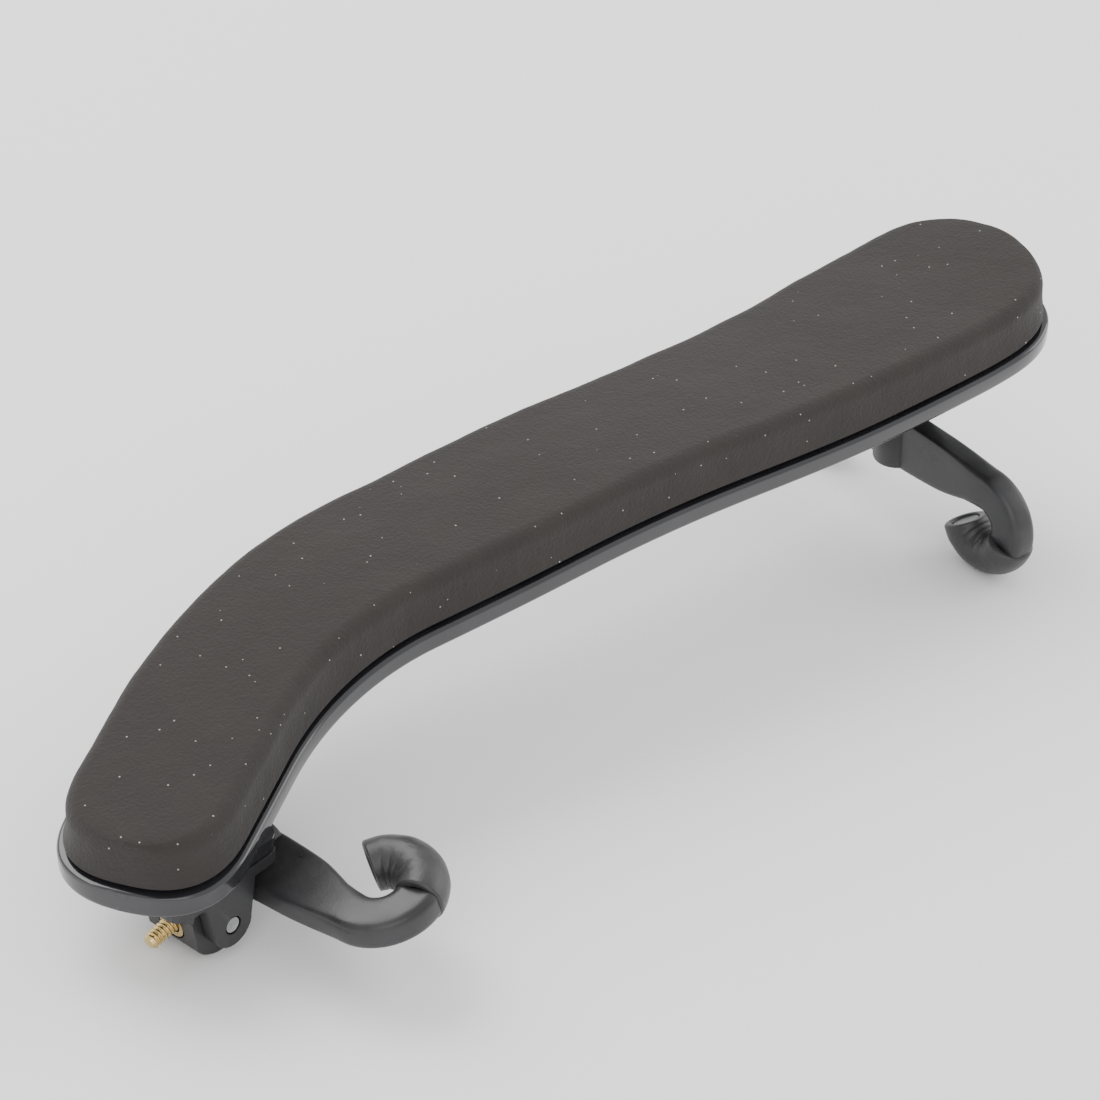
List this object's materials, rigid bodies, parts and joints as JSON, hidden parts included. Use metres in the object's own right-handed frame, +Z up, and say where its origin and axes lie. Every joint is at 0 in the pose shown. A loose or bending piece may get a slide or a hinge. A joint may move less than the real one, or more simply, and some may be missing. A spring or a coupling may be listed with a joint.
{
  "type": "violin shoulder rest",
  "caption": "Collapsible violin shoulder rest: padded curved plate on two folding forks with rubber-sleeved claws, one fork folded and one deployed.",
  "frame": {"origin": "centre of the bounding box in plan, on the surface it stands on", "axes": "+X along the plate from the folded end to the deployed end, +Y away from the player-side curve, +Z up through the pad"},
  "size_m": [0.2506, 0.1092, 0.0602],
  "materials": {
    "plate": "gloss",
    "foam": "matte",
    "tape": "matte",
    "bracket": "satin",
    "fork": "satin",
    "rubber": "satin",
    "brass": "satin",
    "steel": "satin"
  },
  "bodies": {
    "rest": {"base_plate": "plate", "foam_pad": "foam", "pad_tape": "tape", "left_bracket": "bracket", "left_screw_1": "steel", "left_screw_2": "steel", "left_front_pin": "steel", "left_back_pin": "steel", "right_bracket": "bracket", "right_screw_1": "steel", "right_screw_2": "steel", "right_front_pin": "steel", "right_back_pin": "steel"},
    "left_swivel_body": {"left_swivel": "bracket", "left_bush": "brass"},
    "left_stem_body": {"left_stem": "brass"},
    "left_fork_body": {"left_fork": "fork", "left_front_tube": "rubber", "left_back_tube": "rubber"},
    "right_swivel_body": {"right_swivel": "bracket", "right_bush": "brass"},
    "right_stem_body": {"right_stem": "brass"},
    "right_fork_body": {"right_fork": "fork", "right_front_tube": "rubber", "right_back_tube": "rubber"}
  },
  "joints": [
    {"name": "left_fold", "type": "hinge", "parent": "rest", "child": "left_swivel_body", "pos_m": [-0.10304, -0.01803, 0.00727], "axis": [-0.1385, 0.9903, -0.014], "range_deg": [0, 98]},
    {"name": "left_height", "type": "slide", "parent": "left_swivel_body", "child": "left_stem_body", "axis": [0.9528, 0.1371, 0.2707], "range_m": [0, 0.004]},
    {"name": "left_turn", "type": "hinge", "parent": "left_stem_body", "child": "left_fork_body", "pos_m": [-0.10304, -0.01803, 0.00727], "axis": [-0.9528, -0.1371, -0.2707], "range_deg": [-10, 10]},
    {"name": "right_fold", "type": "hinge", "parent": "rest", "child": "right_swivel_body", "pos_m": [0.0998, 0.01477, 0.03096], "axis": [0.0451, 0.999, 0.0046], "range_deg": [0, 98]},
    {"name": "right_height", "type": "slide", "parent": "right_swivel_body", "child": "right_stem_body", "axis": [0.1004, 0, -0.9949], "range_m": [0, 0.004]},
    {"name": "right_turn", "type": "hinge", "parent": "right_stem_body", "child": "right_fork_body", "pos_m": [0.0998, 0.01477, 0.03096], "axis": [-0.1004, 0, 0.9949], "range_deg": [-10, 10]}
  ]
}
